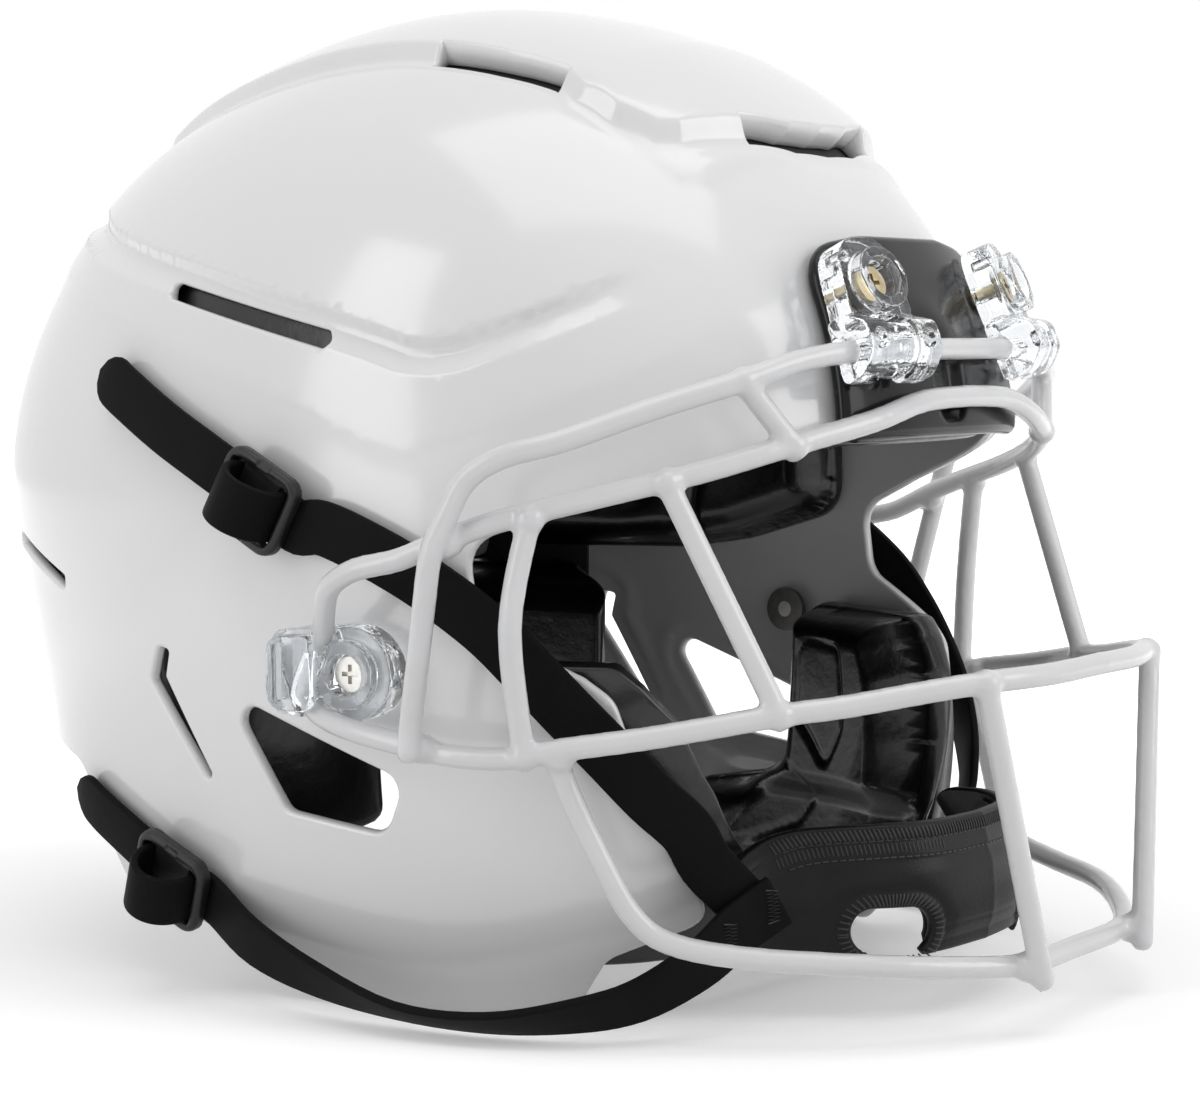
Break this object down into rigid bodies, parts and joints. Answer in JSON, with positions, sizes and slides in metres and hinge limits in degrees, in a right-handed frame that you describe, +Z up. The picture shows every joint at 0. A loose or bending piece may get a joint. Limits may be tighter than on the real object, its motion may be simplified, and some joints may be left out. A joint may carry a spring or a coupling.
{
  "type": "american football helmet",
  "caption": "Football helmet: vented one-piece shell with a raised crown rib, black bumper, welded wire face guard in clear clips, padded liner and a four-point strap with a soft chin cup.",
  "frame": {"origin": "Middle of the box on the plane of the jaw flaps' feet, under the helmet.", "axes": "+Z up. -Y is the wearer's front, +X the wearer's left. The helmet is symmetric about X = 0."},
  "size_m": [0.283, 0.3599, 0.281],
  "materials": {
    "shell": "high-gloss moulded polycarbonate",
    "bumper": "glossy black moulding",
    "liner": "black vinyl-skinned foam",
    "guard_coat": "glossy light grey dip coating over steel wire",
    "clear_clip": "clear moulded polycarbonate",
    "steel": "plated steel",
    "buckle": "black nylon moulding",
    "strap": "black coated webbing with a soft sheen",
    "cup": "soft black leather look",
    "cup_liner": "black padded lining"
  },
  "bodies": {
    "helmet": {"shell": "shell", "front_bumper": "bumper", "brow_pad": "liner", "crown_pad": "liner", "back_pad": "liner", "side_pad_left": "liner", "side_pad_right": "liner", "jaw_pad_left": "liner", "jaw_pad_right": "liner", "mask_top_bar": "guard_coat", "mask_eye_bar": "guard_coat", "mask_mid_bar": "guard_coat", "mask_jaw_bar": "guard_coat", "mask_front_posts": "guard_coat", "mask_eye_struts": "guard_coat", "mask_side_struts": "guard_coat", "mask_brow_struts": "guard_coat", "front_clip_left": "clear_clip", "front_clip_right": "clear_clip", "side_clip_left": "clear_clip", "side_clip_right": "clear_clip", "front_clip_screws": "steel", "front_clip_nuts": "steel", "side_clip_screws": "steel", "side_clip_nuts": "steel", "snap_studs": "steel", "snap_stud_nuts": "steel", "upper_strap_left": "strap", "upper_strap_right": "strap", "lower_strap_left": "strap", "lower_strap_right": "strap"},
    "upper_snap_left_set": {"upper_buckle_left": "buckle", "upper_snap_left": "steel", "upper_tail_left": "strap"},
    "upper_snap_right_set": {"upper_buckle_right": "buckle", "upper_snap_right": "steel", "upper_tail_right": "strap"},
    "lower_snap_left_set": {"lower_buckle_left": "buckle", "lower_snap_left": "steel", "lower_tail_left": "strap"},
    "lower_snap_right_set": {"lower_buckle_right": "buckle", "lower_snap_right": "steel", "lower_tail_right": "strap"},
    "cup_set": {"chin_cup": "cup", "chin_cup_liner": "cup_liner"}
  },
  "joints": [
    {"name": "upper_snap_swivel_left", "type": "hinge", "parent": "helmet", "child": "upper_snap_left_set", "pos_m": [0.11698, 0.016, 0.14], "axis": [1, -0.0065, 0.0021], "range_deg": [-6, 6]},
    {"name": "upper_snap_swivel_right", "type": "hinge", "parent": "helmet", "child": "upper_snap_right_set", "pos_m": [-0.11698, 0.016, 0.14], "axis": [-1, -0.0065, 0.0021], "range_deg": [-6, 6]},
    {"name": "lower_snap_swivel_left", "type": "hinge", "parent": "helmet", "child": "lower_snap_left_set", "pos_m": [0.11061, 0.052, 0.033], "axis": [0.9726, 0.1167, -0.2009], "range_deg": [-6, 6]},
    {"name": "lower_snap_swivel_right", "type": "hinge", "parent": "helmet", "child": "lower_snap_right_set", "pos_m": [-0.11061, 0.052, 0.033], "axis": [-0.9726, 0.1167, -0.2009], "range_deg": [-6, 6]},
    {"name": "chin_cup_swing", "type": "hinge", "parent": "helmet", "child": "cup_set", "pos_m": [0, -0.082, 0.03], "axis": [1, 0, 0], "range_deg": [-1, 8]}
  ]
}
